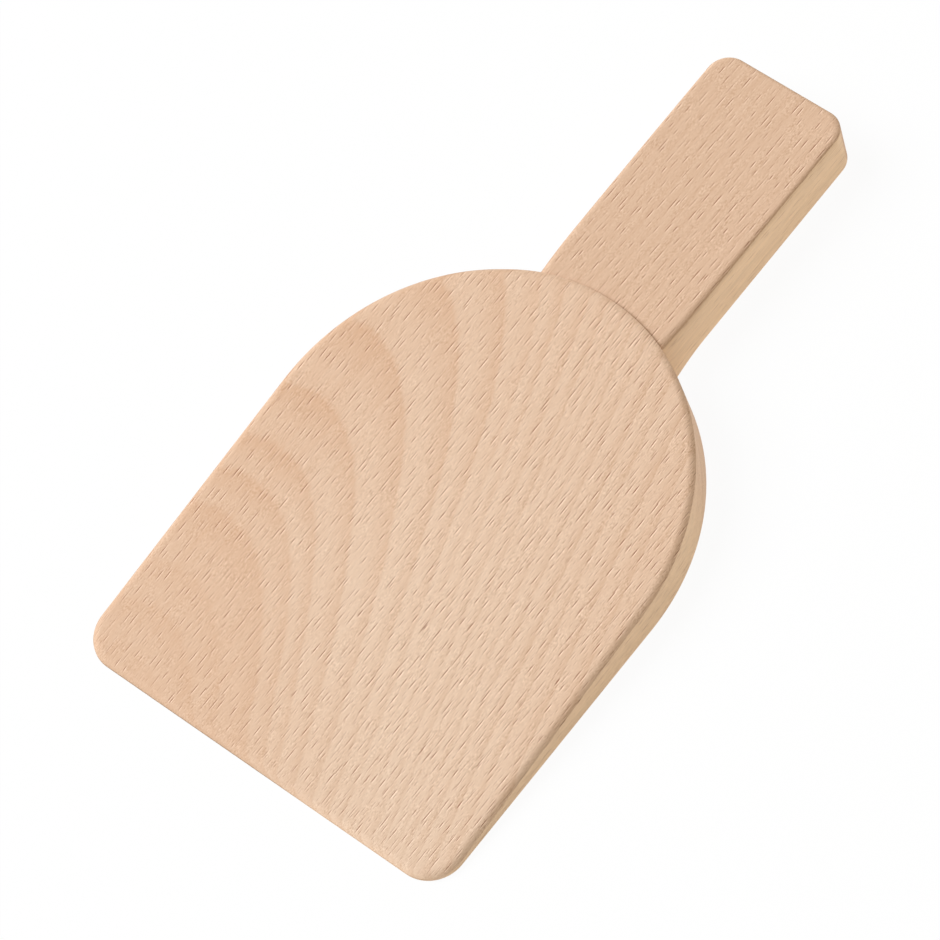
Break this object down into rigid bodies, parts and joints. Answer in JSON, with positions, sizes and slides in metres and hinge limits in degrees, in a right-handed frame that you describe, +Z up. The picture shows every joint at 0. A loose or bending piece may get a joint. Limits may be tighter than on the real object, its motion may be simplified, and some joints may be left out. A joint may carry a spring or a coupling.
{
  "type": "dough paddle",
  "caption": "Flat beech paddle with a wedge-shaped blade, rounded shoulder, thin straight front edge and a flat bar handle, for scraping, lifting and pushing dough.",
  "frame": {"origin": "on the underside, below the middle of the whole paddle", "axes": "+Y along the paddle from the thin front edge to the end of the handle, +X across, +Z up from the flat underside"},
  "size_m": [0.15, 0.28, 0.0217],
  "materials": {
    "blade_beech": "untreated flat-sawn beech, planed and sanded, matt",
    "handle_beech": "untreated straight-grained beech, planed and sanded, matt",
    "dowel_beech": "turned and fluted beech, matt"
  },
  "bodies": {
    "root": {"blade": "blade_beech", "handle": "handle_beech", "dowel_left": "dowel_beech", "dowel_right": "dowel_beech"}
  },
  "joints": []
}
